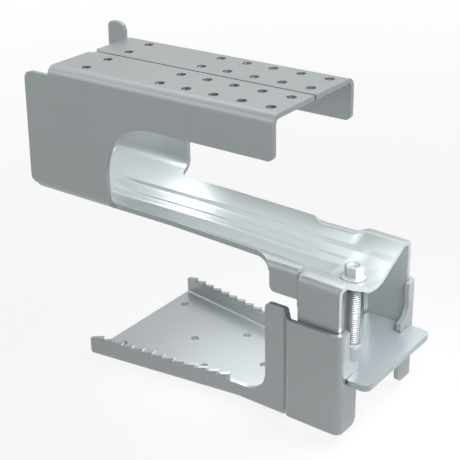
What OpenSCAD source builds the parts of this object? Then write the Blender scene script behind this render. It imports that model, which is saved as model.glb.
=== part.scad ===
// Height-adjustable roof hook for a solar mounting rail, clamped on a roof batten.
// A hook of folded sheet stands in the two pockets of a toothed U-shaped bracket.
// One bolt through the arm draws the bracket up by a threaded plate hung in its pockets.
// Frame: X runs from the rail end to the bolt, Z up, origin on the bracket's underside
// at the stop edge that the batten meets, on the centre plane.

/* [Sheet] */
// Thickness of the galvanised sheet of hook and bracket
sheet_t = 3; // [2:0.5:4]
// Inside radius of the sharp folds
fold_r = 3; // [1:0.5:4]

/* [Rail channel] */
// Overall width of the hook across its side plates
hook_w = 84; // [76:1:96]
// Height of the rail face above the bracket's underside
rail_z = 195; // [190:1:205]
// Length of the rail face
rail_len = 172.5; // [160:0.5:185]
// Place of the rail face's free end
rail_end_x = 9; // [0:0.5:20]
// Height of the side flanges of the rail channel
flange_h = 27; // [22:1:32]
// Radius of the flange's lower free corner
flange_corner_r = 4; // [2:0.5:6]
// Width of the seam between the two folded-in flanges
seam_w = 1.2; // [1:0.2:3]
// Depth of the flared mouth at the closed end of the seam
seam_mouth = 4; // [2:1:8]

/* [Rail holes] */
// Diameter of the rail holes
rail_hole_d = 6; // [4:0.5:8]
// Distance between neighbouring rail holes along and across
hole_pitch = 20; // [18:1:22]
// Distance of the last hole from the free end
hole_end = 9.5; // [7:0.5:12]
// Columns in the group at the free end
hole_columns = 5; // [3:1:5]
// Pitches from the last column of the free end to the single column at the fold
hole_gap = 3; // [2:1:3]

/* [Side plates] */
// Distance from the rail face's fold end to the plates' outer edge at the top
plate_reach = 21.5; // [18:0.5:28]
// Lean of the plates' outer edge
plate_lean = 2.6; // [0:0.2:5]
// Radius of the plates' corners
plate_corner_r = 6; // [3:0.5:9]
// Width of the side plates at the window
plate_w = 66.5; // [60:0.5:80]
// Radius of the window's upper corner
window_r = 38; // [25:1:40]
// Height of the rear plate's locating ear above the rail face
ear_h = 8.5; // [7:0.5:12]
// Distance of the locating ear from the rail face's fold end
ear_gap = 7; // [5:0.5:9]
// Radius of the ear's shoulder
ear_r = 6; // [3:0.5:7]

/* [Arm] */
// Depth of the arm's floor below the rail face
floor_drop = 100.5; // [98:0.5:104]
// Half width of the arm's flat floor
floor_half = 10; // [8.5:0.5:10.5]
// Half width to the inner edge of the ledge
ledge_in = 17; // [16:0.5:17.5]
// Height of the ledge above the floor
ledge_h = 5; // [4:0.2:5.6]
// Half width to the outer edge of the ledge
ledge_out = 20; // [19.5:0.5:21]
// Rise of the ledge across its width
ledge_rise = 0.7; // [0.3:0.2:1.1]
// Drop of the ledge from the narrow run to the legs
ledge_drop = 4.5; // [1:0.5:5]
// Slope of the arm's sides
side_slope = 31; // [28:1:34]
// Half width of the arm's narrow run
arm_half = 30.5; // [29:0.5:31]
// Radius in plan where the plates' edge runs into the arm's edge
arm_root_r = 5; // [3:0.5:9]
// Radius where the arm's edge runs into the front tabs
tab_root_r = 8; // [4:0.5:10]
// Inside radius of the soft folds along the arm
soft_r = 4; // [3:0.5:5]

/* [Tabs and legs] */
// Place of the front tabs' stop edge
tab_x = 1; // [0.5:0.5:4]
// Height of the tabs' lower edge
tab_z = 83; // [80:1:92]
// Place where the joggle from tab to leg starts
joggle_x = 22; // [20:0.5:23]
// Length of the joggle
joggle_len = 4.5; // [4:0.5:6]
// Place of the leg's inner edge inside the pocket
leg_x = 25; // [24.5:0.5:27]
// Place of the arm's free end
arm_end_x = 52.8; // [50:0.2:56]
// Height of the legs' lower end
leg_z = 37; // [34:1:45]
// Distance from the tabs' outer faces in to the arm's crest
crest_in = 8.2; // [7.6:0.2:9.4]
// Height of that crest above the ledge's outer edge
crest_h = 3.1; // [2.6:0.1:4]
// Distance from the legs' outer faces in to the arm's crest
leg_crest_in = 9.5; // [8.5:0.5:12]
// Height of the legs' crest above the ledge's outer edge
leg_crest_h = 6; // [5:0.2:7]
// Drop from the crest to the shoulder of the tabs
shoulder_drop = 1.6; // [0.5:0.2:3]
// Drop from the crest to the shoulder of the legs
leg_shoulder_drop = 0.5; // [0.3:0.2:2]

/* [Bracket] */
// Half width of the upstand's outer faces
upstand_half = 38; // [36:0.5:40]
// Height of the upstand
upstand_z = 76.5; // [70:0.5:80]
// Radius of the upstand's corner
upstand_r = 4; // [2:0.5:6]
// Clearance between the legs and the pocket's walls
pocket_gap = 0.3; // [0.2:0.1:0.6]
// Height of the pocket's rim
pocket_z = 73.5; // [68:0.5:76]
// Height of the pocket's lower edge
pocket_foot_z = 7; // [4:0.5:12]
// Radius of the pocket's lower corner
pocket_corner_r = 5; // [3:0.5:8]
// Clearance between the arm's end and the return plates
return_gap = 0.8; // [0.7:0.1:1.2]
// Width of a return plate above the lug
return_w = 9.5; // [8:0.5:12]
// Width of a return plate at the lug and below the slot
return_low_w = 18.5; // [16:0.5:20]
// Height of the lug above the slot
lug_h = 6.5; // [5:0.5:9]
// Radius from the lug up the return plate
lug_r = 8; // [4:0.5:9]
// Depth of the slot beyond the lug
slot_depth = 7; // [5:0.5:9]

/* [Batten flanges] */
// Length of the bracket's base from the stop edge to its far end
base_len = 133; // [120:1:145]
// Distance from the stop edge to the kink where the flanges flare
kink_x = 22.5; // [18:0.5:30]
// Flare of the flanges in plan
flare = 8.2; // [5:0.2:10]
// Length of the base beyond the stop edge
base_tail = 12; // [8:0.5:12]
// Distance from the stop edge to the joggle between upstand and pocket
pocket_joggle_x = 14.8; // [14:0.2:17]
// Height of the flange between teeth and upstand
low_z = 11; // [9:0.5:12]
// Radius from that flange up to the upstand
throat_r = 16; // [10:0.5:20]
// Height of the tooth tips
tooth_z = 16; // [14:0.5:18]
// Depth of the teeth
tooth_h = 2.6; // [1.5:0.1:4]
// Distance between teeth
tooth_pitch = 8; // [6:0.5:10]
// Number of teeth on each flange
tooth_count = 13; // [8:1:13]
// Distance from the stop edge to the last tooth's tip
last_tooth = 27.5; // [26:0.5:30]
// Undercut of a tooth's steep side
tooth_undercut = 1.2; // [0.5:0.1:2]

/* [Base holes] */
// Diameter of the screw holes in the base
base_hole_d = 5.5; // [4:0.5:7]
// Far pair: distance from the stop edge
far_pair_x = 122; // [118:1:124]
// Far pair: distance from the centre plane
far_pair_y = 33.5; // [30:0.5:36]
// Near pair: distance from the stop edge
near_pair_x = 59; // [54:1:64]
// Near pair: distance from the centre plane
near_pair_y = 24; // [20:0.5:28]
// Far centre hole: distance from the stop edge
far_centre_x = 86; // [80:1:92]
// Near centre hole: distance from the stop edge
near_centre_x = 28; // [24:1:34]

/* [Threaded plate] */
// Thickness of the threaded plate
nut_t = 4; // [3:0.5:6]
// Height of the threaded plate's top face
nut_z = 43.5; // [40:0.5:48]
// Place of the plate's inner end
nut_x = 27; // [26.5:0.5:28]
// Length of the lip outside the return plates
lip_len = 14; // [10:0.5:18]
// Half width of the lip
lip_half = 38; // [36:0.5:40]
// Radius of the lip's corners
lip_r = 4.5; // [2:0.5:6]
// Clearance of the threaded plate in slots and between legs
nut_gap = 0.3; // [0.2:0.1:0.5]
// Outside diameter of the drawn collar round the thread
collar_d = 14.5; // [13:0.5:17]
// Height of the drawn collar
collar_h = 1.2; // [0.5:0.1:2]

/* [Clamp bolt] */
// Diameter of the bolt's thread
bolt_d = 10; // [8:1:12]
// Length of the bolt under its flange
bolt_len = 61; // [56:1:68]
// Place of the bolt's axis from the stop edge
bolt_x = 37.5; // [37:0.5:40]
// Distance across the head's flats
head_af = 10; // [9:0.5:12]
// Turn of the head's corners about the bolt's axis
head_turn = 13; // [0:1:60]
// Height of the head with its flange
head_h = 8; // [7:0.5:10]
// Diameter of the head's flange
head_flange_d = 15.2; // [14:0.2:18]
// Thickness of the head's flange at its edge
head_flange_t = 1.2; // [0.8:0.1:2]
// Height of the flange's sloping top above its edge
head_cone_h = 1.4; // [0.6:0.2:2]
// Diameter of the dished recess in the head
recess_d = 7; // [5:0.5:8]
// Depth of the recess
recess_h = 1.6; // [0.8:0.2:3]
// Radial running clearance of the bolt in the threaded plate
thread_gap = 0.05; // [0.02:0.01:0.1]
// Diameter of the bolt's hole in the arm
seat_hole_d = 11; // [10.5:0.5:13]
// Depth of the seat pressed round the bolt below the arm's floor
seat_drop = 6.5; // [4:0.5:7.5]
// Diameter of the seat's flat
seat_d = 20; // [18:0.5:24]
// Half width of the groove from the seat to the arm's end
groove_half = 6; // [5:0.5:8]
// Slope of the walls of seat and groove
seat_slope = 36; // [32:1:45]

/* [Hidden] */
$fn = 64;
corner_steps = 6;

half_w = hook_w / 2;
rail_fold_x = rail_end_x - rail_len;
plate_edge_x = rail_fold_x - plate_reach;
window_x = plate_edge_x + plate_w;
web_end_x = plate_edge_x + 1;
floor_z = rail_z - floor_drop;
seat_z = floor_z - seat_drop;
ledge_z = floor_z + ledge_h;
ledge_out_z = ledge_z + ledge_rise;
flange_z = rail_z - flange_h;
fold_z = rail_z - sheet_t - fold_r;
ear_top_z = rail_z + ear_h;
foot_r = fold_r + 5;
foot_z = ledge_out_z + (half_w - sheet_t - ledge_out) * tan(side_slope);
foot_top_z = foot_z + foot_r;
plate_corner_z = foot_z - 1;
leg_half = half_w - 1;
tab_half = upstand_half - sheet_t - pocket_gap;
pocket_in = leg_half + pocket_gap;
pocket_half = pocket_in + sheet_t;
pocket_step = pocket_in - upstand_half + sheet_t;
return_x = arm_end_x + return_gap;
return_out_x = return_x + sheet_t;
lug_y = pocket_half - return_low_w;
slot_y = lug_y + slot_depth;
slot_top_z = nut_z + nut_gap;
slot_low_z = nut_z - nut_t - nut_gap;
press_x = tab_x - 14;
press_end_x = tab_x - 2;
joggle_end_x = joggle_x + joggle_len;
throat_x = -throat_r;
tooth_root_z = tooth_z - tooth_h;
base_far_x = -base_len;
galvanised = "#b4babe";
zinc = "#a9adb0";

// Outlines of folded sheet: corner points with an inside bend radius each

function unit(v) = v / norm(v);
function left_of(v) = [-v.y, v.x] / norm(v);
function meet(p, d, q, e) = p + d * (cross(q - p, e) / cross(d, e));
function reverse(list) = [for (i = [len(list) - 1 : -1 : 0]) list[i]];
function mirrored(pts) = [for (p = reverse(pts)) [-p.x, p.y]];

// Corner points of the parallel path at distance t to the left of travel
function beside(pts, t) = [for (i = [0 : len(pts) - 1])
    let (a = pts[max(i - 1, 0)], b = pts[i], c = pts[min(i + 1, len(pts) - 1)])
    i == 0 ? b + t * left_of(c - b)
    : i == len(pts) - 1 ? b + t * left_of(b - a)
    : meet(a + t * left_of(b - a), b - a, b + t * left_of(c - b), c - b)];

// Points of one rounded corner, the same number for every corner
function corner(a, b, c, r, n = corner_steps) =
    let (u = unit(a - b), v = unit(c - b), half = acos(u * v) / 2,
         centre = b + unit(u + v) * (r / sin(half)),
         from = b + u * (r / tan(half)), to = b + v * (r / tan(half)),
         a0 = atan2(from.y - centre.y, from.x - centre.x),
         a1 = atan2(to.y - centre.y, to.x - centre.x),
         sweep = (a1 - a0 + 540) % 360 - 180)
    [for (k = [0 : n]) let (ang = a0 + sweep * k / n) centre + r * [cos(ang), sin(ang)]];

// An open path with its inner corners rounded
function rounded(pts, radii) = concat([pts[0]],
    [for (i = [1 : len(pts) - 2]) each corner(pts[i - 1], pts[i], pts[i + 1], radii[i - 1])],
    [pts[len(pts) - 1]]);

// A closed outline with a radius at each corner, 0 for a sharp one
function closed(pts, radii, n = 12) = let (m = len(pts)) [for (i = [0 : m - 1])
    each radii[i] > 0 ? corner(pts[(i + m - 1) % m], pts[i], pts[(i + 1) % m], radii[i], n)
    : [pts[i]]];

function turns_left(a, b, c) = cross(b - a, c - b) > 0;

// Radii along one face of the sheet, which lies left or right of travel
function face_radii(pts, inner, t, left) = [for (i = [1 : len(pts) - 2])
    inner[i - 1] + (turns_left(pts[i - 1], pts[i], pts[i + 1]) == left ? 0 : t)];

// Closed outline of a folded sheet that lies to the left of its path
function folded(pts, inner, t) = concat(
    rounded(pts, face_radii(pts, inner, t, false)),
    reverse(rounded(beside(pts, t), face_radii(pts, inner, t, true))));

// A shape drawn as (X, height) and given a depth along Y
module across(from, to) {
    translate([0, to, 0]) rotate([90, 0, 0]) linear_extrude(to - from) children();
}

// A shape drawn as (Y, height) and extruded along X from one place to another
module along(from, to) {
    translate([from, 0, 0]) rotate([90, 0, 90]) linear_extrude(to - from) children();
}

module both_sides() {
    children();
    mirror([0, 1, 0]) children();
}

// Hook: sections of the arm, drawn on the upper face of the sheet

function arm_inner(w = 0) = [[floor_half, floor_z - ledge_drop * w / 2],
    [ledge_in - w, ledge_z - ledge_drop * w], [ledge_out + w, ledge_out_z - ledge_drop * w]];
function both_halves(pts) = concat(mirrored(pts), pts);
function same_radii(list) = concat(reverse(list), list);

function plate_path() = both_halves(concat(arm_inner(),
    [[half_w - sheet_t, foot_z], [half_w - sheet_t, foot_top_z]]));
function plate_radii() = same_radii([soft_r, soft_r, soft_r, foot_r - 1]);
function plate_section() = folded(reverse(plate_path()), plate_radii(), sheet_t);

// The share of the way from the narrow arm to the tabs is u, and from tabs to legs w
function tab_path(u, w) =
    let (slope_y = ledge_out + 12, slope_z = ledge_out_z + 12 * tan(side_slope),
         crest = [(tab_half - crest_in) * (1 - w) + (leg_half - leg_crest_in) * w,
                  ledge_out_z - ledge_drop * w + crest_h + (leg_crest_h - crest_h) * w],
         top = [slope_y, slope_z] * (1 - u) + crest * u,
         outer = (w == 1 ? leg_half : tab_half) + 5 * (1 - u))
    both_halves(concat(arm_inner(w),
        [top, [outer, top.y - shoulder_drop * (1 - w) - leg_shoulder_drop * w],
            [outer, leg_z]]));
function tab_radii() = same_radii([soft_r, soft_r, soft_r, 2, fold_r - 1]);
function tab_section(u, w) = folded(reverse(tab_path(u, w)), tab_radii(), sheet_t);

// The arm's edge zone between the narrow run and the tabs, in short straight steps
module root_press() {
    steps = 4;
    length = (press_end_x - press_x) / steps;
    for (k = [0 : steps - 1]) along(press_x + length * k, press_x + length * (k + 1))
        polygon(tab_section((k + 0.5) / steps, 0.4 * k / steps));
}

// The joggle between tabs and legs: slanted walls and the crest between them
module joggle_press() {
    inner = tab_half - sheet_t;
    wall = [[joggle_x - 3, inner], [joggle_x, inner], [joggle_end_x, leg_half - sheet_t],
        [joggle_end_x + 3, leg_half - sheet_t]];
    outer = beside(wall, sheet_t);
    intersection() {
        along(joggle_x, joggle_end_x) polygon(tab_section(1, 1));
        linear_extrude(rail_z)
            polygon(concat(outer, [for (p = reverse(outer)) [p.x, -p.y]]));
    }
    intersection() {
        both_sides() linear_extrude(ledge_out_z - ledge_drop + leg_crest_h - leg_shoulder_drop - 2)
            polygon(concat(wall, reverse(outer)));
        translate([joggle_x, -half_w, leg_z]) cube([joggle_len, hook_w, rail_z]);
    }
}

// Everything below the arm's upper face, for the pressed seat
module under_arm() {
    path = reverse(tab_path(1, 1));
    along(bolt_x - 30, arm_end_x)
        polygon(rounded(path, face_radii(path, tab_radii(), sheet_t, false)));
}

// Half profile of seat or groove on its upper face, from its middle outwards
function press_path(half) =
    [[0, seat_z], [half, seat_z], [half + 12, seat_z + 12 * tan(seat_slope)]];
function press_face(half) = rounded(press_path(half), [soft_r]);
function press_under(half) = rounded(beside(press_path(half), -sheet_t), [soft_r + sheet_t]);

// A basin round the bolt and along the groove, over a half profile's points
module basin(seat, groove, end_x) {
    translate([bolt_x, 0, 0]) rotate_extrude() polygon(concat(
        seat, [[seat_d / 2 + 12, floor_z + 20], [0, floor_z + 20]]));
    along(bolt_x, end_x) polygon(both_halves(concat(
        groove, [[groove_half + 12, floor_z + 20]])));
}

// Room above the pressed seat and its groove
module seat_room() {
    basin(press_face(seat_d / 2), press_face(groove_half), arm_end_x + 1);
}

// Sheet of the round seat and of the groove from it to the arm's end
module seat_sheet() {
    difference() {
        basin(press_under(seat_d / 2), press_under(groove_half), arm_end_x);
        seat_room();
    }
}

// What the side plates keep of the folded section, drawn as (X, height)
function plate_outline() = closed([
    [rail_end_x, fold_z], [rail_end_x, flange_z], [window_x, flange_z],
    [window_x, foot_z], [press_x, foot_z], [press_x, floor_z - 12],
    [web_end_x, floor_z - 12], [web_end_x, plate_corner_z],
    [plate_edge_x - tan(plate_lean) * (fold_z - plate_corner_z), plate_corner_z],
    [plate_edge_x, fold_z]],
    [0, flange_corner_r, window_r, 0, 0, 0, 0, 0, plate_corner_r - 1, plate_corner_r]);

function ear_outline() = closed([
    [rail_fold_x - ear_gap, fold_z - 20], [rail_fold_x - ear_gap, ear_top_z],
    [plate_edge_x, ear_top_z], [plate_edge_x - tan(plate_lean) * 20, fold_z - 20]],
    [0, ear_r, 4, 0]);

// What the tabs and legs keep of the folded section
function tab_outline() = closed([
    [press_x - 1, rail_z], [press_x - 1, ledge_out_z - 2.5], [tab_x, ledge_out_z - 2.5],
    [tab_x, tab_z], [leg_x, tab_z], [leg_x, leg_z], [arm_end_x, leg_z], [arm_end_x, rail_z]],
    [0, 0, 2.5, 3, 2, 2, 2, 0]);

// Plan of the blank's cut-outs beside the narrow arm
module beside_arm() {
    translate([0, 0, floor_z - 20]) linear_extrude(foot_z - floor_z + 20)
        polygon(closed([[window_x, arm_half], [tab_x, arm_half],
            [tab_x, half_w + 9], [window_x, half_w + 9]], [arm_root_r, tab_root_r, 0, 0]));
}

module rear_body() {
    intersection() {
        along(plate_edge_x - 20, press_x) polygon(plate_section());
        across(-half_w - 1, half_w + 1) polygon(plate_outline());
    }
}

module side_plates() {
    intersection() {
        union() {
            both_sides() across(half_w - sheet_t, half_w) polygon(plate_outline());
            across(half_w - sheet_t, half_w) polygon(ear_outline());
        }
        translate([plate_edge_x - 20, -half_w - 1, foot_top_z])
            cube([rail_end_x - plate_edge_x + 40, hook_w + 2, rail_z]);
    }
}

// Rail face with its folds
module rail_face() {
    both_sides() along(rail_fold_x, rail_end_x) polygon(folded(
        reverse([[seam_w / 2, rail_z], [half_w, rail_z], [half_w, fold_z]]), [fold_r], sheet_t));
}

module rail_holes() {
    columns = concat([for (k = [0 : hole_columns - 1]) k], [hole_columns - 1 + hole_gap]);
    for (k = columns, j = [-1.5 : 1 : 1.5])
        translate([rail_end_x - hole_end - k * hole_pitch, j * hole_pitch, rail_z - 10])
            cylinder(h = 20, d = rail_hole_d);
    translate([rail_fold_x, 0, rail_z - 10]) cylinder(h = 20, r = seam_mouth);
}

module arm_front() {
    difference() {
        union() {
            root_press();
            along(press_end_x, joggle_x) polygon(tab_section(1, 0.4));
            joggle_press();
            along(joggle_end_x, arm_end_x) polygon(tab_section(1, 1));
        }
        both_sides() difference() {
            union() {
                translate([press_x - 2, arm_half, 0])
                    cube([arm_end_x - press_x + 4, half_w, rail_z - 20]);
                translate([press_x - 2, ledge_out, 0])
                    cube([arm_end_x - press_x + 4, half_w, ledge_z - ledge_drop - sheet_t - 2]);
            }
            across(ledge_out - 1, half_w + arm_half + 1) polygon(tab_outline());
        }
    }
}

module hook() {
    color(galvanised) difference() {
        union() {
            rear_body();
            side_plates();
            rail_face();
            difference() {
                arm_front();
                seat_room();
            }
            intersection() {
                seat_sheet();
                under_arm();
            }
        }
        both_sides() beside_arm();
        rail_holes();
        translate([bolt_x, 0, seat_z - 20]) cylinder(h = 40, d = seat_hole_d);
    }
}

// Bracket: base with toothed flanges, upstands, pockets and return plates

// Base edge with its flange, drawn as (Y, height) with the outer face at 0
module flange_section(top) {
    polygon(folded([[-12, 0], [0, 0], [0, top]], [fold_r / 2], sheet_t));
}

function tooth_points() = [for (k = [tooth_count - 1 : -1 : 0])
    let (x = -last_tooth - k * tooth_pitch)
    each [[x, tooth_z], [x - tooth_undercut, tooth_root_z]]];

// Outline of flange, upstand and pocket, drawn as (X, height)
function bracket_outline() = concat([[base_far_x, 0], [base_far_x, tooth_root_z]],
    tooth_points(), [[-last_tooth - tooth_undercut, low_z]],
    corner([throat_x - 5, low_z], [0, low_z], [0, upstand_z], throat_r, 12),
    corner([0, low_z], [0, upstand_z], [10, upstand_z], upstand_r, 8),
    [[pocket_joggle_x + 1, upstand_z], [pocket_joggle_x + pocket_step, pocket_z],
     [return_out_x + 5, pocket_z], [return_out_x + 5, pocket_foot_z],
     [base_tail, pocket_foot_z], [base_tail, 0]]);

// What the return plates keep, drawn as (Y, height)
function return_outline() = closed([
    [lug_y, slot_top_z], [slot_y, slot_top_z], [slot_y, slot_low_z], [lug_y, slot_low_z],
    [lug_y, pocket_foot_z], [pocket_half + 5, pocket_foot_z], [pocket_half + 5, upstand_z],
    [pocket_half - return_w, upstand_z], [pocket_half - return_w, slot_top_z + lug_h],
    [lug_y, slot_top_z + lug_h]],
    [0.8, 0.8, 0.8, 0.8, pocket_corner_r, 0, 0, 0, lug_r, 1.5]);

// Upstand, joggle, pocket wall and return plate as one strip in plan
module pocket_strip() {
    inner = upstand_half - sheet_t;
    path = [[base_tail, inner], [pocket_joggle_x, inner],
        [pocket_joggle_x + pocket_step, pocket_in], [return_x, pocket_in], [return_x, lug_y]];
    linear_extrude(upstand_z) polygon(folded(path, [2, 2, fold_r / 2], sheet_t));
}

module base_plate() {
    inset = fold_r + sheet_t;
    grow = (base_len - kink_x) * tan(flare);
    y0 = upstand_half - inset;
    linear_extrude(sheet_t) polygon([[base_tail, -y0], [base_tail, y0], [-kink_x, y0],
        [base_far_x, y0 + grow], [base_far_x, -y0 - grow], [-kink_x, -y0]]);
}

module base_holes() {
    for (p = [[far_pair_x, far_pair_y], [far_pair_x, -far_pair_y], [near_pair_x, near_pair_y],
        [near_pair_x, -near_pair_y], [far_centre_x, 0], [near_centre_x, 0]])
        translate([-p.x, p.y, -1]) cylinder(h = sheet_t + 2, d = base_hole_d);
}

module flared_flange() {
    intersection() {
        translate([-kink_x, upstand_half, 0]) rotate([0, 0, -flare])
            along(-base_len, 5) flange_section(tooth_z + 5);
        translate([base_far_x, 0, -1]) cube([base_len - kink_x, base_len, 2 * tooth_z]);
    }
}

module bracket() {
    color(galvanised) difference() {
        union() {
            base_plate();
            intersection() {
                both_sides() {
                    translate([0, upstand_half, 0]) along(-kink_x, base_tail)
                        flange_section(upstand_z);
                    flared_flange();
                    difference() {
                        pocket_strip();
                        along(return_x - 0.01, return_out_x + 5) difference() {
                            translate([0, -1]) square([pocket_half - 6, rail_z]);
                            polygon(return_outline());
                        }
                    }
                }
                across(-rail_z, rail_z) polygon(bracket_outline());
            }
        }
        base_holes();
    }
}

// Threaded plate: wide between the legs, a neck in the slots, a lip outside

module threaded_plate() {
    wide = leg_half - sheet_t - nut_gap;
    neck = slot_y - nut_gap;
    wide_end = return_x - nut_gap;
    lip_x = return_out_x + nut_gap;
    color(zinc) difference() {
        union() {
            translate([0, 0, nut_z - nut_t]) linear_extrude(nut_t) polygon(closed([
                [nut_x, -wide], [wide_end, -wide], [wide_end, -neck], [lip_x, -neck],
                [lip_x, -lip_half], [lip_x + lip_len, -lip_half], [lip_x + lip_len, lip_half],
                [lip_x, lip_half], [lip_x, neck], [wide_end, neck], [wide_end, wide],
                [nut_x, wide]], [3, 1, 0, 0, 1.5, lip_r, lip_r, 1.5, 0, 0, 1, 3], 8));
            translate([bolt_x, 0, nut_z]) cylinder(h = collar_h, d1 = collar_d,
                d2 = collar_d - collar_h);
        }
        translate([bolt_x, 0, nut_z - 20]) cylinder(h = 40, d = bolt_d + 2 * thread_gap);
    }
}

// Clamp bolt: flanged hexagon head with a dished recess, thread drawn as its outside diameter

module head_profile() {
    flat_r = head_af / 2;
    corner_d = head_af / cos(30);
    polygon([[0, 0], [head_flange_d / 2, 0], [head_flange_d / 2, head_flange_t],
        [corner_d / 2, head_flange_t + head_cone_h], [corner_d / 2, head_h - 0.8],
        [flat_r - 0.2, head_h], [recess_d / 2, head_h], [recess_d / 2 - 1, head_h - recess_h],
        [0, head_h - recess_h]]);
}

module clamp_bolt() {
    color(zinc) translate([bolt_x, 0, seat_z]) {
        intersection() {
            rotate_extrude() head_profile();
            union() {
                cylinder(h = head_flange_t + head_cone_h, d = head_flange_d + 1);
                rotate([0, 0, head_turn])
                    cylinder(h = head_h + 1, d = head_af / cos(30), $fn = 6);
            }
        }
        translate([0, 0, -bolt_len + 1]) cylinder(h = bolt_len - 1, d = bolt_d);
        translate([0, 0, -bolt_len]) cylinder(h = 1, d1 = bolt_d - 2, d2 = bolt_d);
    }
}

hook();
bracket();
threaded_plate();
clamp_bolt();
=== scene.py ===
"""Looks of the height-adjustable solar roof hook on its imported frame."""

import logging
import math
from dataclasses import dataclass, field
from enum import Enum

import bmesh
import bpy
from mathutils import Matrix, Vector

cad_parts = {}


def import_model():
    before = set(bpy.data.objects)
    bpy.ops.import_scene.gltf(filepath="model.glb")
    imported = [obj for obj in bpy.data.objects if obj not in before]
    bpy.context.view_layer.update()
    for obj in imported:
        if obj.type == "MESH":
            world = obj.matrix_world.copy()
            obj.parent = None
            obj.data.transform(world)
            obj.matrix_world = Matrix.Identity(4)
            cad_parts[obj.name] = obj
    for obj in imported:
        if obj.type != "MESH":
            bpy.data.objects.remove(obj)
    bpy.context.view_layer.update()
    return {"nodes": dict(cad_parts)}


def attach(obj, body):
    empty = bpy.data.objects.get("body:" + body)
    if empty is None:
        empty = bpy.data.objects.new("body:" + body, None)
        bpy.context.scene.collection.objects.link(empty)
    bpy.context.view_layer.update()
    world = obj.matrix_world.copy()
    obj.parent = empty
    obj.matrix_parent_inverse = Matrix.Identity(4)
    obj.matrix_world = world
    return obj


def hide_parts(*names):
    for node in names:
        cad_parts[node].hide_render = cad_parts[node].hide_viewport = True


LOG = logging.getLogger("roof_hook")
MM = 0.001
SAME_SPOT = 0.001 * MM
MERGE_REACH = 0.002 * MM
SEAM_REACH = 0.03 * MM
FLAT_DEG = 0.4
OBJECT_MIDDLE = (-0.06, 0.0, 0.1)


class Slot(Enum):
    """Material slots of the record."""

    HOOK = "hook_steel"
    BRACKET = "bracket_steel"
    PLATE = "plate_steel"
    BOLT = "bolt_steel"


Point = tuple[float, float]
Triple = tuple[float, float, float]


def eased(value: float) -> float:
    """Return a smooth step from 0 to 1 over the same range of value."""
    v = min(max(value, 0.0), 1.0)
    return v * v * (3.0 - 2.0 * v)


def between(a: float, b: float, share: float) -> float:
    """Return the number that lies the given share of the way from a to b."""
    return a + (b - a) * share


def mixed(a: Point, b: Point, share: float) -> Point:
    """Return the point that lies the given share of the way from a to b."""
    return between(a[0], b[0], share), between(a[1], b[1], share)


def soft_min(a: float, b: float, reach: float) -> float:
    """Return the smaller of two heights, with the crossing rounded over reach."""
    h = max(reach - abs(a - b), 0.0) / reach
    return min(a, b) - h * h * reach / 4.0


def arc(before: Point, corner: Point, after: Point, radius: float, steps: int = 6) -> list[Point]:
    """Round one corner of a path.

    Args:
        before: Point of the path before the corner.
        corner: The corner.
        after: Point of the path after the corner.
        radius: Radius of the arc in millimetres.
        steps: Number of chords.

    Returns:
        The points of the arc, in the path's direction.
    """
    b = Vector(corner)
    u = (Vector(before) - b).normalized()
    v = (Vector(after) - b).normalized()
    half = u.angle(v) / 2
    centre = b + (u + v).normalized() * (radius / math.sin(half))
    start, end = b + u * (radius / math.tan(half)), b + v * (radius / math.tan(half))
    a0 = math.atan2(start.y - centre.y, start.x - centre.x)
    a1 = math.atan2(end.y - centre.y, end.x - centre.x)
    sweep = (a1 - a0 + 3 * math.pi) % (2 * math.pi) - math.pi
    return [(centre.x + radius * math.cos(a0 + sweep * k / steps),
             centre.y + radius * math.sin(a0 + sweep * k / steps)) for k in range(steps + 1)]


def filleted(path: list[Point], radii: tuple[float, ...],
             cuts: tuple[int, ...]) -> list[Point]:
    """Round a path's inner corners and divide its straight stretches.

    Args:
        path: Corner points of the open path.
        radii: One radius for each inner corner.
        cuts: Number of pieces of each straight stretch.

    Returns:
        The points, always as many for the same radii and cuts.
    """
    stretches, start = [], path[0]
    for before, corner, after, radius in zip(path, path[1:], path[2:], radii):
        bend = arc(before, corner, after, radius)
        stretches.append((start, bend[0], bend[1:-1]))
        start = bend[-1]
    stretches.append((start, path[-1], []))
    points = []
    for (a, b, bend), count in zip(stretches, cuts):
        points += [(between(a[0], b[0], k / count), between(a[1], b[1], k / count))
                   for k in range(count + 1)] + bend
    return points


def ring(corners: list[Point], radii: list[float]) -> list[Point]:
    """Return a closed outline with a radius at each corner, 0 for a sharp one."""
    count = len(corners)
    outline: list[Point] = []
    for k, (corner, radius) in enumerate(zip(corners, radii)):
        outline += [corner] if radius == 0 else arc(
            corners[k - 1], corner, corners[(k + 1) % count], radius)
    return outline


def mesh_piece(name: str, points: list[Triple], faces: list[tuple[int, ...]]) -> bpy.types.Object:
    """Make an object from points in millimetres.

    Args:
        name: Name of the object and its mesh.
        points: Corners in millimetres, in the frame of the part.
        faces: Faces as indices of the corners.

    Returns:
        The linked object, at the origin.
    """
    mesh = bpy.data.meshes.new(name)
    mesh.from_pydata([tuple(c * MM for c in p) for p in points], [], faces)
    mesh.validate()
    piece = bpy.data.objects.new(name, mesh)
    bpy.context.scene.collection.objects.link(piece)
    return piece


def turned(count: int) -> list[float]:
    """Return the angles of a full turn's equal steps, from 0 on."""
    return [2 * math.pi * k / count for k in range(count)]


def bands(rings: int, sides: int) -> list[tuple[int, ...]]:
    """Return the four-sided faces between rings of corners, each ring closed."""
    return [(i * sides + k, i * sides + (k + 1) % sides, (i + 1) * sides + (k + 1) % sides,
             (i + 1) * sides + k) for i in range(rings - 1) for k in range(sides)]


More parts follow.
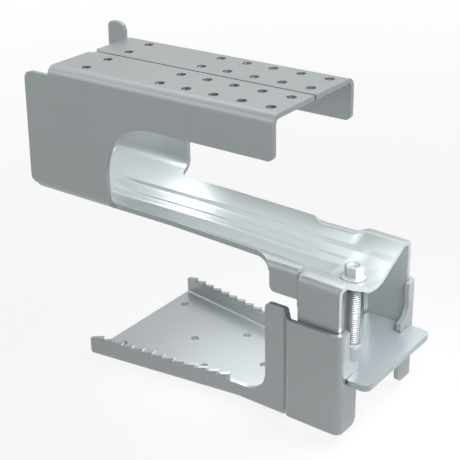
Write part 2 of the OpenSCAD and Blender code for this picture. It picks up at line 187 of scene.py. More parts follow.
def prism(name: str, outline: list[Point], low: float, high: float,
          along: str) -> bpy.types.Object:
    """Make a straight solid over an outline.

    Args:
        name: Name of the solid.
        outline: Closed outline in millimetres, as (X, Y) or (X, Z).
        low: Lower end of the extrusion.
        high: Upper end of the extrusion.
        along: "Z" for an outline in plan, "Y" for one seen from the side.

    Returns:
        The closed solid with its faces outwards.
    """
    place = {"Z": lambda p, d: (p[0], p[1], d), "Y": lambda p, d: (p[0], d, p[1])}[along]
    count = len(outline)
    points = [place(p, d) for d in (low, high) for p in outline]
    faces = [(k, (k + 1) % count, (k + 1) % count + count, k + count) for k in range(count)]
    faces += [tuple(range(count)), tuple(range(count, 2 * count))]
    piece = mesh_piece(name, points, faces)
    mesh = bmesh.new()
    mesh.from_mesh(piece.data)
    bmesh.ops.recalc_face_normals(mesh, faces=mesh.faces)
    mesh.to_mesh(piece.data)
    mesh.free()
    return piece


def made_plain(piece: bpy.types.Object) -> None:
    """Turn a piece's modifiers into its own plain mesh and drop them."""
    view = bpy.context.evaluated_depsgraph_get()
    mesh = bpy.data.meshes.new_from_object(piece.evaluated_get(view))
    piece.modifiers.clear()
    piece.data = mesh
    mesh.name = piece.name


def cut_away(piece: bpy.types.Object, cutters: list[bpy.types.Object]) -> None:
    """Cut solids out of a piece and delete them.

    Args:
        piece: The piece that is cut.
        cutters: Closed solids.
    """
    for cutter in cutters:
        cut = piece.modifiers.new("cut", "BOOLEAN")
        cut.operation, cut.solver, cut.object = "DIFFERENCE", "MANIFOLD", cutter
    made_plain(piece)
    for cutter in cutters:
        bpy.data.objects.remove(cutter)


@dataclass(frozen=True)
class ArmRoom:
    """The room that the pressed arm takes: narrow between the plates, wide in front."""

    start_x: float
    wide_x: float
    half: float
    top_z: float

    def holds(self, point: Vector) -> bool:
        """Tell whether a point in millimetres lies in the room."""
        narrow = self.start_x < point.x and abs(point.y) < self.half
        return (narrow or point.x > self.wide_x) and point.z < self.top_z


def merged_copy(node: bpy.types.Object, name: str,
                drop_arm: ArmRoom | None = None) -> bpy.types.Object:
    """Copy a CAD node as one joined mesh of flat faces, without the arm where asked.

    Args:
        node: The CAD node, which stays as it is.
        name: Name of the copy.
        drop_arm: The room that is cleared in the copy.

    Returns:
        The copy, at the origin.
    """
    mesh = bmesh.new()
    mesh.from_mesh(node.data)
    bmesh.ops.transform(mesh, matrix=node.matrix_world, verts=mesh.verts)
    bmesh.ops.remove_doubles(mesh, verts=mesh.verts, dist=MERGE_REACH)
    if drop_arm is not None:
        for place, normal in ((drop_arm.start_x, (1, 0, 0)), (drop_arm.half, (0, 1, 0)),
                              (-drop_arm.half, (0, 1, 0))):
            bmesh.ops.bisect_plane(mesh, geom=mesh.verts[:] + mesh.edges[:] + mesh.faces[:],
                                   plane_co=Vector(normal) * place * MM, plane_no=normal)
        inside = [f for f in mesh.faces if drop_arm.holds(f.calc_center_median() / MM)]
        bmesh.ops.delete(mesh, geom=inside, context="FACES")
    bmesh.ops.dissolve_limit(mesh, angle_limit=math.radians(FLAT_DEG), verts=mesh.verts,
                             edges=mesh.edges)
    data = bpy.data.meshes.new(name)
    mesh.to_mesh(data)
    mesh.free()
    copy = bpy.data.objects.new(name, data)
    bpy.context.scene.collection.objects.link(copy)
    return copy


def smoothed(piece: bpy.types.Object, sharp_deg: float = 32.0) -> None:
    """Shade bends smooth and flat faces flat, with cut edges kept sharp.

    Args:
        piece: The piece, whose modifiers are gone.
        sharp_deg: Angle in degrees above which an edge stays sharp.
    """
    piece.data.shade_smooth()
    piece.data.set_sharp_from_angle(angle=math.radians(sharp_deg))
    normals = piece.modifiers.new("face_weighted", "WEIGHTED_NORMAL")
    normals.keep_sharp = True
    normals.weight = 100
    made_plain(piece)


@dataclass(frozen=True)
class SheetFinish:
    """Smooth galvanised or zinc-plated steel with faint clouds and a fine grain.

    The clouds vary colour and roughness, and the grain is a slight bump.
    """

    name: str
    colour: Triple
    metallic: float = 0.65
    roughness: float = 0.32
    cloud_scale: float = 18.0
    cloud_detail: float = 3.0
    cloud_depth: float = 0.05
    roughness_spread: float = 0.04
    grain_scale: float = 900.0
    grain_height: float = 0.00002
    grain_strength: float = 0.25

    def build(self) -> bpy.types.Material:
        """Make the node material.

        Returns:
            The material, reading Object coordinates only.
        """
        mat = bpy.data.materials.new(self.name)
        mat.use_nodes = True
        nodes, links = mat.node_tree.nodes, mat.node_tree.links
        shader = nodes["Principled BSDF"]
        shader.inputs["Metallic"].default_value = self.metallic
        coords = nodes.new("ShaderNodeTexCoord")
        cloud = nodes.new("ShaderNodeTexNoise")
        cloud.inputs["Scale"].default_value = self.cloud_scale
        cloud.inputs["Detail"].default_value = self.cloud_detail
        links.new(coords.outputs["Object"], cloud.inputs["Vector"])
        low = tuple(c * (1 - self.cloud_depth) for c in self.colour)
        high = tuple(min(1.0, c * (1 + self.cloud_depth)) for c in self.colour)
        tint = nodes.new("ShaderNodeMix")
        tint.data_type = "RGBA"
        tint.inputs["A"].default_value = (*low, 1)
        tint.inputs["B"].default_value = (*high, 1)
        links.new(cloud.outputs["Fac"], tint.inputs["Factor"])
        links.new(tint.outputs["Result"], shader.inputs["Base Color"])
        rough = nodes.new("ShaderNodeMapRange")
        rough.inputs["To Min"].default_value = self.roughness - self.roughness_spread
        rough.inputs["To Max"].default_value = self.roughness + self.roughness_spread
        links.new(cloud.outputs["Fac"], rough.inputs["Value"])
        links.new(rough.outputs["Result"], shader.inputs["Roughness"])
        grain = nodes.new("ShaderNodeTexNoise")
        grain.inputs["Scale"].default_value = self.grain_scale
        links.new(coords.outputs["Object"], grain.inputs["Vector"])
        bump = nodes.new("ShaderNodeBump")
        bump.inputs["Strength"].default_value = self.grain_strength
        bump.inputs["Distance"].default_value = self.grain_height
        links.new(grain.outputs["Fac"], bump.inputs["Height"])
        links.new(bump.outputs["Normal"], shader.inputs["Normal"])
        return mat


def seen_directly(tree: bpy.types.NodeTree) -> bpy.types.NodeSocket:
    """Tell camera, mirrored and passed rays from those that carry light.

    Args:
        tree: The material's or world's tree.

    Returns:
        The socket that holds 1 for the former rays and 0 for the others.
    """
    paths = tree.nodes.new("ShaderNodeLightPath")
    last = paths.outputs["Is Camera Ray"]
    for name in ("Is Glossy Ray", "Is Transmission Ray"):
        either = tree.nodes.new("ShaderNodeMath")
        either.operation = "MAXIMUM"
        tree.links.new(last, either.inputs[0])
        tree.links.new(paths.outputs[name], either.inputs[1])
        last = either.outputs["Value"]
    return last


@dataclass(frozen=True)
class SoftBox:
    """One rectangular area light that faces a point and stays out of the picture."""

    name: str
    place: Triple
    aim: Triple
    size: Point
    power: float

    def hang(self) -> None:
        """Add the light to the scene."""
        data = bpy.data.lights.new(self.name, "AREA")
        data.shape, data.energy = "RECTANGLE", self.power
        data.size, data.size_y = self.size
        lamp = bpy.data.objects.new(self.name, data)
        lamp.location = self.place
        facing = Vector(self.aim) - Vector(self.place)
        lamp.rotation_euler = facing.to_track_quat("-Z", "Y").to_euler()
        lamp.visible_camera = False
        bpy.context.scene.collection.objects.link(lamp)


def round_about(name: str, azimuth: float, elevation: float, power: float,
                size: float = 0.7, away: float = 1.3) -> SoftBox:
    """Place a square soft box on a sphere round the object's middle.

    Args:
        name: Name of the light.
        azimuth: Direction in plan in degrees, from +X towards +Y.
        elevation: Height above the horizon in degrees.
        power: Power in watts.
        size: Edge length in metres.
        away: Distance from the object's middle in metres.

    Returns:
        The soft box, facing the middle.
    """
    middle = Vector(OBJECT_MIDDLE)
    turn, tilt = math.radians(azimuth), math.radians(elevation)
    ray = Vector((math.cos(turn) * math.cos(tilt), math.sin(turn) * math.cos(tilt),
                  math.sin(tilt)))
    return SoftBox(name, tuple(middle + ray * away), tuple(middle), (size, size), power)


@dataclass
class Studio:
    """Camera at the photograph's angle, white floor and background, soft lights."""

    azimuth: float = 39.52
    elevation: float = 25.62
    roll: float = 2.17
    place: Triple = (0.3256, -0.4972, 0.3894)
    lens: float = 84.94
    sensor: float = 36.0
    sight: float = 20.0
    shift: Point = (0.0809, 0.0170)
    white: Triple = (1.0, 1.0, 1.0)
    sky: Triple = (0.97, 0.99, 1.0)
    ambient: float = 0.02
    floor_half: float = 3.0
    floor_z: float = -0.0015
    floor_grey: float = 0.8
    floor_roughness: float = 0.9
    floor_glow: float = 0.88
    glow_fade: Point = (0.25, 1.1)
    lamps: list[SoftBox] = field(default_factory=lambda: [
        round_about("left", 180, 45, 1.2), round_about("back", 90, 45, 1.8),
        round_about("back_left", 135, 45, 1.6), round_about("front_left", 225, 30, 1.4),
        SoftBox("near_right_front", (0.25, -0.35, 0.35), (0.0, 0.0, 0.1), (0.25, 0.25), 0.4),
        SoftBox("near_right", (0.27, 0.05, 0.42), (0.03, 0.0, 0.15), (0.25, 0.25), 0.45),
        SoftBox("near_right_back", (0.25, 0.3, 0.35), (0.0, 0.0, 0.1), (0.25, 0.25), 0.2),
        SoftBox("under_fold", (-0.145, 0.0, 0.16), (-0.15, 0.005, 0.1), (0.055, 0.05), 0.04),
        SoftBox("along_arm", (-0.055, 0.0, 0.158), (-0.06, 0.0, 0.09), (0.05, 0.2), 0.062),
        SoftBox("under_arm", (-0.04, 0.0, 0.052), (-0.05, 0.01, 0.0), (0.1, 0.06), 0.09),
        SoftBox("over_plate", (0.1, 0.0, 0.12), (0.05, 0.01, 0.04), (0.07, 0.04), 0.22)])

    def build(self) -> None:
        """Set up view, camera, world, floor and lights."""
        scene = bpy.context.scene
        scene.view_settings.view_transform = "Standard"
        self._camera(scene)
        self._world(scene)
        self._floor()
        self._lights()

    def _camera(self, scene: bpy.types.Scene) -> None:
        """Place the camera from its azimuth, elevation and roll.

        Args:
            scene: The scene that gets the camera.
        """
        a, e, r = (math.radians(v) for v in (self.azimuth, self.elevation, self.roll))
        forward = Vector((-math.sin(a) * math.cos(e), math.cos(a) * math.cos(e), -math.sin(e)))
        level = Vector((math.cos(a), math.sin(a), 0.0))
        drop = forward.cross(level)
        right = math.cos(r) * level + math.sin(r) * drop
        down = -math.sin(r) * level + math.cos(r) * drop
        data = bpy.data.cameras.new("photo_camera")
        data.lens = self.lens
        data.sensor_width = self.sensor
        data.shift_x, data.shift_y = self.shift
        data.clip_end = self.sight
        cam = bpy.data.objects.new("photo_camera", data)
        cam.matrix_world = Matrix.Translation(self.place) @ Matrix(
            (right, -down, -forward)).transposed().to_4x4()
        scene.collection.objects.link(cam)
        scene.camera = cam

    def _world(self, scene: bpy.types.Scene) -> None:
        """Light from all round, white where the camera or a reflection sees it.

        Args:
            scene: The scene that gets the world.
        """
        world = bpy.data.worlds.new("studio")
        scene.world = world
        world.use_nodes = True
        nodes, links = world.node_tree.nodes, world.node_tree.links
        nodes["Background"].inputs["Color"].default_value = (*self.sky, 1.0)
        nodes["Background"].inputs["Strength"].default_value = self.ambient
        seen = nodes.new("ShaderNodeBackground")
        seen.inputs["Color"].default_value = (*self.white, 1.0)
        pick = nodes.new("ShaderNodeMixShader")
        links.new(seen_directly(world.node_tree), pick.inputs["Fac"])
        links.new(nodes["Background"].outputs["Background"], pick.inputs[1])
        links.new(seen.outputs["Background"], pick.inputs[2])
        links.new(pick.outputs["Shader"], nodes["World Output"].inputs["Surface"])

    def _floor(self) -> None:
        """Lay a pale floor that shows a shadow near the object and is white far off."""
        mesh = bpy.data.meshes.new("floor")
        size, z = self.floor_half, self.floor_z
        mesh.from_pydata([(-size, -size, z), (size, -size, z), (size, size, z), (-size, size, z)],
                         [], [(0, 1, 2, 3)])
        floor = bpy.data.objects.new("floor", mesh)
        bpy.context.scene.collection.objects.link(floor)
        mat = bpy.data.materials.new("floor_white")
        mat.use_nodes = True
        nodes, links = mat.node_tree.nodes, mat.node_tree.links
        shader = nodes["Principled BSDF"]
        shader.inputs["Base Color"].default_value = (*(self.floor_grey,) * 3, 1.0)
        shader.inputs["Roughness"].default_value = self.floor_roughness
        glow = nodes.new("ShaderNodeEmission")
        pick = nodes.new("ShaderNodeMixShader")
        spot, reach = nodes.new("ShaderNodeTexCoord"), nodes.new("ShaderNodeVectorMath")
        reach.operation = "LENGTH"
        fade, share = nodes.new("ShaderNodeMapRange"), nodes.new("ShaderNodeMath")
        share.operation = "MULTIPLY"
        for name, value in zip(("From Min", "From Max", "To Min", "To Max"),
                               (*self.glow_fade, self.floor_glow, 1.0)):
            fade.inputs[name].default_value = value
        links.new(spot.outputs["Object"], reach.inputs[0])
        links.new(reach.outputs["Value"], fade.inputs["Value"])
        links.new(seen_directly(mat.node_tree), share.inputs[0])
        links.new(fade.outputs["Result"], share.inputs[1])
        links.new(share.outputs["Value"], pick.inputs["Fac"])
        links.new(shader.outputs["BSDF"], pick.inputs[1])
        links.new(glow.outputs["Emission"], pick.inputs[2])
        links.new(pick.outputs["Shader"], nodes["Material Output"].inputs["Surface"])
        mesh.materials.append(mat)

    def _lights(self) -> None:
        """Hang the soft boxes round the object and the small ones in its hollows."""
        for lamp in self.lamps:
            lamp.hang()


@dataclass
class HookSheet:
    """Hook of folded sheet: the rear copied from its solid, the front pressed smoothly.

    Sections of the front lie on the upper face of the sheet as (Y, height), for one half,
    and are mirrored. Sizes are in millimetres. Where the sheet meets other pieces they are
    those of the part's source, and the trough, seat and crests follow the photograph.
    """

    finish: SheetFinish
    thickness: float = 3.0
    join_x: float = -178.0
    wide_x: float = -100.0
    rail_low: float = 130.0
    settle: tuple[float, float] = (-178.0, -152.0)
    pitch: float = 0.030
    pitch_x: float = -76.0
    press: tuple[float, float] = (-13.0, -2.0)
    joggle: tuple[float, float] = (20.3, 25.3)
    crest_rise: tuple[float, float] = (20.9, 27.2)
    end_x: float = 52.8
    rear_trough: tuple[Point, ...] = ((10.0, 94.5), (17.0, 99.5), (20.0, 100.2))
    mid_trough: tuple[Point, ...] = ((7.0, 89.9), (10.0, 92.6), (12.0, 93.1),
                                     (16.0, 96.9), (19.5, 97.8))
    end_trough: tuple[Point, ...] = ((6.5, 88.3), (10.5, 90.4), (12.5, 91.5),
                                     (18.0, 94.4), (22.0, 96.0))
    rear_radii: tuple[float, ...] = (4.0, 7.0, 4.0, 5.0, 5.0)
    rear_cuts: tuple[int, ...] = (9, 5, 3, 7, 4, 4)
    front_radii: tuple[float, ...] = (3.0, 1.6, 1.6, 3.0, 3.0, 5.0, 5.0)
    front_cuts: tuple[int, ...] = (5, 1, 1, 1, 1, 5, 3, 3)
    rear_slope: float = 31.0
    slope: float = 30.2
    slope_past: float = 1.5
    wall_past: float = 5.0
    arm_half: float = 30.5
    tab_half: float = 34.7
    leg_half: float = 41.0
    tab_crest: Point = (27.3, 102.5)
    leg_crest: Point = (32.0, 101.7)
    leg_tilt: float = 0.03
    tab_drop: float = 1.6
    leg_drop: float = 0.5
    wall_foot: float = 30.0
    step: float = 1.1
    bolt_x: float = 37.5
    seat: Point = (10.8, 88.0)
    seat_slope: float = 46.0
    groove_half: float = 6.0
    groove_slope: float = 30.0
    groove_run: float = 14.0
    lip: tuple[float, float, float] = (13.2, 15.6, 0.55)
    press_blend: float = 2.2
    hole_radius: float = 5.5
    tab_corner: Point = (1.0, 83.0)
    leg_corner: Point = (25.0, 37.0)
    tab_top: float = 97.7
    root_radius: float = 8.0

    def build(self, node: bpy.types.Object) -> bpy.types.Object:
        """Join rear and front to one dressed piece.

        Args:
            node: The hook's CAD node, which the piece stands for.

        Returns:
            The piece, riding on the hook's body.
        """
        rear = merged_copy(node, "hook_rear", drop_arm=ArmRoom(
            self.join_x, self.wide_x, self.arm_half, self.rail_low))
        front = self._front()
        piece = joined("hook_sheet", rear, front, self.join_x)
        smoothed(piece)
        piece.data.materials.append(self.finish.build())
        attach(piece, "hook")
        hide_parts("hook")
        return piece

    def _section(self, x: float) -> list[Point]:
        """Draw half a section of the arm's upper face, from the middle to the wall's foot.

        Args:
            x: Place of the section.

        Returns:
            Points as (Y, height), as many at every place.
        """
        settled = eased((x - self.settle[0]) / (self.settle[1] - self.settle[0]))
        if settled < 1.0:
            rear = self._folded(self.rear_trough, self.rear_slope, x, self.rear_radii,
                                self.rear_cuts)
            if settled == 0.0:
                return rear
        ahead = max(x, 0.0) / self.end_x
        trough = tuple(mixed(a, b, ahead) for a, b in zip(self.mid_trough, self.end_trough))
        trough = tuple((y, z - self.pitch * min(max(x, self.pitch_x), 0.0)) for y, z in trough)
        front = self._folded(trough, self.slope, x, self.front_radii, self.front_cuts)
        return front if settled == 1.0 else [
            mixed(a, b, settled) for a, b in zip(rear, front)]

    def _folded(self, trough: tuple[Point, ...], slope: float, x: float,
                radii: tuple[float, ...], cuts: tuple[int, ...]) -> list[Point]:
        """Lead a trough's half section on over its slope and crest and down the wall.

        Args:
            trough: Corners of the trough, from the floor's edge outwards.
            slope: Slope of the arm's side in degrees.
            x: Place of the section.
            radii: Radius of each corner.
            cuts: Number of pieces of each straight stretch.

        Returns:
            Points as (Y, height).
        """
        raised = eased((x - self.press[0]) / (self.press[1] - self.press[0]))
        out = eased((x - self.joggle[0]) / (self.joggle[1] - self.joggle[0]))
        rise = eased((x - self.crest_rise[0]) / (self.crest_rise[1] - self.crest_rise[0]))
        slope_y = self.arm_half + self.slope_past
        slope_z = trough[-1][1] + (slope_y - trough[-1][0]) * math.tan(math.radians(slope))
        leg_z = self.leg_crest[1] + self.leg_tilt * (self.end_x - x)
        crest = mixed(self.tab_crest, (self.leg_crest[0], leg_z), rise)
        top = mixed((slope_y, slope_z), crest, raised)
        wall = between(self.tab_half, self.leg_half, out) + self.wall_past * (1.0 - raised)
        drop = between(self.tab_drop, self.leg_drop, rise)
        path = [(0.0, trough[0][1]), *trough, top, (wall, top[1] - drop), (wall, self.wall_foot)]
        return filleted(path, radii, cuts)

    def _press(self, x: float, y: float) -> float:
        """Find the height of the seat, or of its groove towards the arm's end.

        Args:
            x: Place along the arm.
            y: Place across the arm.

        Returns:
            The height of the pressed face in millimetres.
        """
        past = x - self.bolt_x
        share = eased(past / self.groove_run)
        half = between(self.seat[0], self.groove_half, share)
        slope = between(self.seat_slope, self.groove_slope, share)
        away = math.hypot(past, y) if past < 0 else abs(y)
        rise = (away - half) * math.tan(math.radians(slope))
        start, end, height = self.lip
        lip = height * eased((math.hypot(past, y) - start) / (end - start)) if past > 0 else 0.0
        return self.seat[1] + lip - soft_min(0.0, -rise, self.press_blend)

    def _front(self) -> bpy.types.Object:
        """Sweep the sections to a sheet, thicken it and cut its outline and bolt hole.

        Returns:
            The front half of the hook, closed all round.
        """
        count = math.ceil((self.end_x - self.join_x) / self.step)
        rows = []
        for k in range(count + 1):
            x = between(self.join_x, self.end_x, k / count)
            half = [(y, soft_min(z, self._press(x, y), self.press_blend)
                     if y < self.tab_crest[0] and x > self.tab_corner[0] else z)
                    for y, z in self._section(x)]
            rows.append([(x, -y, z) for y, z in reversed(half[1:])]
                        + [(x, y, z) for y, z in half])
        width = len(rows[0])
        faces = [(i * width + j, (i + 1) * width + j, (i + 1) * width + j + 1, i * width + j + 1)
                 for i in range(count) for j in range(width - 1)]
        front = mesh_piece("hook_front", [p for row in rows for p in row], faces)
        wall = front.modifiers.new("sheet", "SOLIDIFY")
        wall.thickness, wall.offset = self.thickness * MM, -1.0
        wall.use_even_offset = wall.use_rim = True
        made_plain(front)
        cut_away(front, self._cutters())
        return front

    def _cutters(self) -> list[bpy.types.Object]:
        """Make the solids that leave arm, tabs and legs, and the bolt's hole.

        Returns:
            The closed cutters, two for each side and one for the hole.
        """
        margin, wide = 5.0, 60.0
        before, beyond, low = self.join_x - margin, self.end_x + margin, 0.0
        plan = ring([(before, self.arm_half), (self.tab_corner[0], self.arm_half),
                     (self.tab_corner[0], wide), (before, wide)], [0, self.root_radius, 0, 0])
        side = ring([(before, low), (beyond, low), (beyond, self.leg_corner[1]),
                     self.leg_corner, (self.leg_corner[0], self.tab_corner[1]),
                     self.tab_corner, (self.tab_corner[0], self.tab_top),
                     (before, self.tab_top)], [0, 0, 0, 2.0, 2.0, 3.5, 2.5, 0])
        hole = [(self.bolt_x + self.hole_radius * math.cos(a), self.hole_radius * math.sin(a))
                for a in turned(48)]
        cutters = [prism("bolt_hole", hole, 70.0, 110.0, "Z")]
        for sign in (1, -1):
            cutters.append(prism("beside_arm", [(x, sign * y) for x, y in plan],
                                 60.0, 140.0, "Z"))
            cutters.append(prism("under_tabs", side, *sorted((sign * self.arm_half,
                                                              sign * wide)), "Y"))
        return cutters


def joined(name: str, rear: bpy.types.Object, front: bpy.types.Object,
           join_x: float) -> bpy.types.Object:
    """Join two halves that meet in a plane across X into one skin.

    Args:
        name: Name of the joined piece.
        rear: Half that is open at the plane, deleted afterwards.
        front: Half with a cap at the plane, deleted afterwards.
        join_x: Place of the plane in millimetres.

    Returns:
        The joined piece.
    """
    mesh = bmesh.new()
    for half in (rear, front):
        mesh.from_mesh(half.data)
        bpy.data.objects.remove(half)
    rim = {v for v in mesh.verts if abs(v.co.x - join_x * MM) < SAME_SPOT}
    caps = [f for f in mesh.faces if all(v in rim for v in f.verts)]
    bmesh.ops.delete(mesh, geom=caps, context="FACES")
    near = [v for v in mesh.verts if abs(v.co.x - join_x * MM) < SAME_SPOT]
    bmesh.ops.remove_doubles(mesh, verts=near, dist=SEAM_REACH)
    data = bpy.data.meshes.new(name)
    mesh.to_mesh(data)
    mesh.free()
    piece = bpy.data.objects.new(name, data)
    bpy.context.scene.collection.objects.link(piece)
    return piece


@dataclass
class Bracket:
    """Toothed U-shaped bracket with its two pockets, and the threaded plate hung in them."""

    sheet: SheetFinish
    zinc: SheetFinish

    def build(self, bracket: bpy.types.Object, plate: bpy.types.Object) -> None:
        """Make both pieces from their solids, with smooth bends.

        Args:
            bracket: The bracket's CAD node.
            plate: The threaded plate's CAD node.
        """
        for node, finish, slot in ((bracket, self.sheet, Slot.BRACKET),
                                   (plate, self.zinc, Slot.PLATE)):
            piece = merged_copy(node, f"{node.name}_skin")
            smoothed(piece)
            piece.data.materials.clear()
            piece.data.materials.append(finish.build())
            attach(piece, "bracket")
            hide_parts(node.name)
            LOG.info("%s made", piece.name)


class Outline(Enum):
    """Outlines of the rings of the bolt's head."""

    ROUND = "circle of a radius"
    HEXAGON = "hexagon grown by a width"
    CHAMFERED = "hexagon with its corners held to a radius"


@dataclass
class ClampBolt:
    """Clamp bolt: a flanged hexagon head on a core with a helical thread round it.

    Sizes are in millimetres.
    """

    finish: SheetFinish
    axis_x: float = 37.5
    head_z: float = 88.0
    end_z: float = 27.0
    core_radius: float = 4.15
    thread_radius: float = 5.0
    pitch: float = 1.5
    across_flats: float = 10.0
    head_turn: float = 13.0
    head_h: float = 8.0
    flange_radius: float = 7.6
    flange_h: float = 1.1
    recess: Point = (3.45, 1.7)
    head_sides: int = 72
    core_sides: int = 32
    chamfer_h: float = 0.9
    chamfer_rings: int = 6
    chamfer_run: float = 1.8
    end_chamfer: float = 1.0
    thread_clear: Point = (1.2, 0.2)

    def build(self, node: bpy.types.Object) -> bpy.types.Object:
        """Join head, core and thread to one piece.

        Args:
            node: The bolt's CAD node, which the piece stands for.

        Returns:
            The piece, riding on the bolt's body.
        """
        material = self.finish.build()
        head = self._head()
        thread = self._thread(material)
        core = self._core()
        piece = merged_pieces("clamp_bolt_threaded", [head, core, thread])
        piece.data.materials.clear()
        piece.data.materials.append(material)
        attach(piece, "bolt")
        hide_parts(node.name)
        return piece

    def _head(self) -> bpy.types.Object:
        """Shape the flanged hexagon head with its chamfer and dished recess.

        Returns:
            The head, with each ring's points at equal steps of the turn.
        """
        flat, top, sides = self.across_flats / 2, self.head_h, self.head_sides
        points: list[Triple] = []
        rings = self._head_rings(flat, top)
        for z, size, kind in rings:
            for k in range(sides):
                turn = math.radians((k * 360 / sides + 30) % 60 - 30)
                hexagon = flat / math.cos(turn)
                radius = {Outline.ROUND: size, Outline.HEXAGON: hexagon + size,
                          Outline.CHAMFERED: min(hexagon, size)}[kind]
                angle = math.radians(k * 360 / sides + self.head_turn + 30)
                points.append((self.axis_x + radius * math.cos(angle), radius * math.sin(angle),
                               self.head_z + z))
        head = mesh_piece("bolt_head", points, bands(len(rings), sides))
        mesh = bmesh.new()
        mesh.from_mesh(head.data)
        bmesh.ops.remove_doubles(mesh, verts=mesh.verts, dist=SAME_SPOT)
        mesh.to_mesh(head.data)
        mesh.free()
        smoothed(head, 28.0)
        return head

    def _head_rings(self, flat: float, top: float) -> list[tuple[float, float, Outline]]:
        """List the head's rings from the seat up and down into the recess.

        Args:
            flat: Half the width across flats.
            top: Height of the head.

        Returns:
            Height, size and outline of each ring.
        """
        mouth, depth = self.recess
        step = self.chamfer_h / self.chamfer_rings
        rings = [(0.0, 0.0, Outline.ROUND), (0.0, self.flange_radius - 0.3, Outline.ROUND),
                 (0.25, self.flange_radius, Outline.ROUND),
                 (self.flange_h - 0.2, self.flange_radius, Outline.ROUND),
                 (self.flange_h, self.flange_radius - 0.25, Outline.ROUND),
                 (self.flange_h + 0.45, 0.25, Outline.HEXAGON),
                 (self.flange_h + 0.75, 0.0, Outline.HEXAGON)]
        for k in range(self.chamfer_rings + 1):
            left = self.chamfer_h - step * k
            rings.append((top - left, flat - step + self.chamfer_run * left, Outline.CHAMFERED))
        return rings + [(top, mouth, Outline.ROUND),
                        (top - 0.5 * depth, mouth - 0.25, Outline.ROUND),
                        (top - 0.9 * depth, mouth - 1.1, Outline.ROUND),
                        (top - depth, 0.0, Outline.ROUND)]

    def _core(self) -> bpy.types.Object:
        """Turn the core under the thread, with its chamfered end.

        Returns:
            The closed core.
        """
        profile = [(self.core_radius - self.end_chamfer, self.end_z),
                   (self.core_radius, self.end_z + self.end_chamfer),
                   (self.core_radius, self.head_z)]
        sides = self.core_sides
        points = [(self.axis_x + r * math.cos(a), r * math.sin(a), z)
                  for r, z in profile for a in turned(sides)]
        faces = bands(len(profile), sides)
        faces += [tuple(reversed(range(sides))),
                  tuple(range(len(points) - sides, len(points)))]
        core = mesh_piece("bolt_core", points, faces)
        smoothed(core)
        return core

    def _thread(self, material: bpy.types.Material) -> bpy.types.Object:
        """Sweep the ridge of the thread up the core with Geometry Nodes.

        Args:
            material: The bolt's material.

        Returns:
            The thread as a plain mesh.
        """
        tree = ThreadTree().build()
        thread = mesh_piece("bolt_thread", [(0, 0, 0)], [])
        coil = thread.modifiers.new("thread", "NODES")
        coil.node_group = tree
        low, high = self.end_z + self.thread_clear[0], self.head_z - self.thread_clear[1]
        wanted = {"Turns": (high - low) / self.pitch, "Radius": self.core_radius * MM,
                  "Height": (high - low) * MM,
                  "Ridge": (self.thread_radius - self.core_radius) * MM,
                  "Foot": Vector((self.axis_x, 0.0, low)) * MM, "Finish": material}
        for item in tree.interface.items_tree:
            if item.item_type == "SOCKET" and item.name in wanted:
                coil[item.identifier] = wanted[item.name]
        made_plain(thread)
        return thread


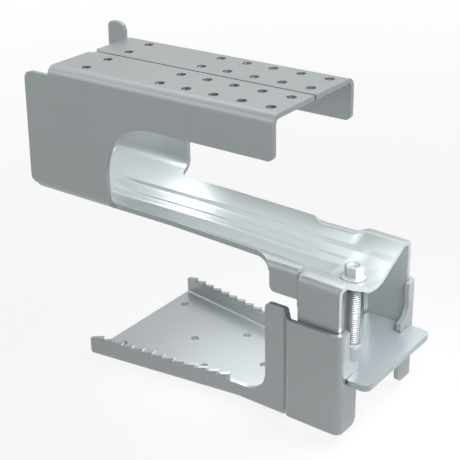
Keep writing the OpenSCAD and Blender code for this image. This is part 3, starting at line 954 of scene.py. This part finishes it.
@dataclass
class ThreadTree:
    """Geometry Nodes tree of a screw thread: a ridge swept along a helix."""

    steps_a_turn: int = 28
    ridge_sides: int = 4

    def build(self) -> bpy.types.NodeTree:
        """Build the tree.

        Returns:
            The node group, with its sizes as named inputs.
        """
        tree = bpy.data.node_groups.new("screw_thread", "GeometryNodeTree")
        face = tree.interface
        face.new_socket("Geometry", in_out="INPUT", socket_type="NodeSocketGeometry")
        for name, kind in (("Turns", "Float"), ("Radius", "Float"), ("Height", "Float"),
                           ("Ridge", "Float"), ("Foot", "Vector"), ("Finish", "Material")):
            face.new_socket(name, in_out="INPUT", socket_type=f"NodeSocket{kind}")
        face.new_socket("Geometry", in_out="OUTPUT", socket_type="NodeSocketGeometry")
        nodes, links = tree.nodes, tree.links
        given, result = nodes.new("NodeGroupInput"), nodes.new("NodeGroupOutput")
        helix = nodes.new("GeometryNodeCurveSpiral")
        helix.inputs["Resolution"].default_value = self.steps_a_turn
        upright = nodes.new("GeometryNodeSetCurveNormal")
        upright.mode = "Z_UP"
        ridge = nodes.new("GeometryNodeCurvePrimitiveCircle")
        ridge.inputs["Resolution"].default_value = self.ridge_sides
        sweep = nodes.new("GeometryNodeCurveToMesh")
        sweep.inputs["Fill Caps"].default_value = True
        place = nodes.new("GeometryNodeTransform")
        real = nodes.new("GeometryNodeRealizeInstances")
        finish = nodes.new("GeometryNodeSetMaterial")
        for source, target in (
                (given.outputs["Turns"], helix.inputs["Rotations"]),
                (given.outputs["Radius"], helix.inputs["Start Radius"]),
                (given.outputs["Radius"], helix.inputs["End Radius"]),
                (given.outputs["Height"], helix.inputs["Height"]),
                (given.outputs["Ridge"], ridge.inputs["Radius"]),
                (helix.outputs["Curve"], upright.inputs["Curve"]),
                (upright.outputs["Curve"], sweep.inputs["Curve"]),
                (ridge.outputs["Curve"], sweep.inputs["Profile Curve"]),
                (sweep.outputs["Mesh"], place.inputs["Geometry"]),
                (given.outputs["Foot"], place.inputs["Translation"]),
                (place.outputs["Geometry"], real.inputs["Geometry"]),
                (real.outputs["Geometry"], finish.inputs["Geometry"]),
                (given.outputs["Finish"], finish.inputs["Material"]),
                (finish.outputs["Geometry"], result.inputs["Geometry"])):
            links.new(source, target)
        return tree


def merged_pieces(name: str, parts: list[bpy.types.Object]) -> bpy.types.Object:
    """Put several meshes into one object and keep their shading.

    Args:
        name: Name of the joined piece.
        parts: Objects at the origin, the first of which becomes the piece.

    Returns:
        The joined piece.
    """
    with bpy.context.temp_override(active_object=parts[0], selected_editable_objects=parts):
        bpy.ops.object.join()
    parts[0].name = parts[0].data.name = name
    return parts[0]


@dataclass
class RoofHook:
    """The whole object: hook, bracket with threaded plate, and clamp bolt."""

    hook: HookSheet = field(default_factory=lambda: HookSheet(
        SheetFinish("hook_sheet_steel", (0.35, 0.38, 0.388))))
    bracket: Bracket = field(default_factory=lambda: Bracket(
        SheetFinish("bracket_sheet_steel", (0.345, 0.372, 0.38)),
        SheetFinish("plate_zinc", (0.37, 0.41, 0.43))))
    bolt: ClampBolt = field(default_factory=lambda: ClampBolt(
        SheetFinish("bolt_zinc", (0.37, 0.39, 0.4))))

    def build(self, nodes: dict[str, bpy.types.Object]) -> None:
        """Build every piece on its CAD node.

        Args:
            nodes: The frame's nodes by name.
        """
        LOG.info("%s made", self.hook.build(nodes["hook"]).name)
        self.bracket.build(nodes["bracket"], nodes["threaded_plate"])
        LOG.info("%s made", self.bolt.build(nodes["clamp_bolt"]).name)


def main() -> None:
    """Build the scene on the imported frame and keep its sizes."""
    logging.basicConfig(level=logging.INFO, format="%(message)s")
    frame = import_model()
    Studio().build()
    RoofHook().build(frame["nodes"])


if __name__ == "__main__":
    main()
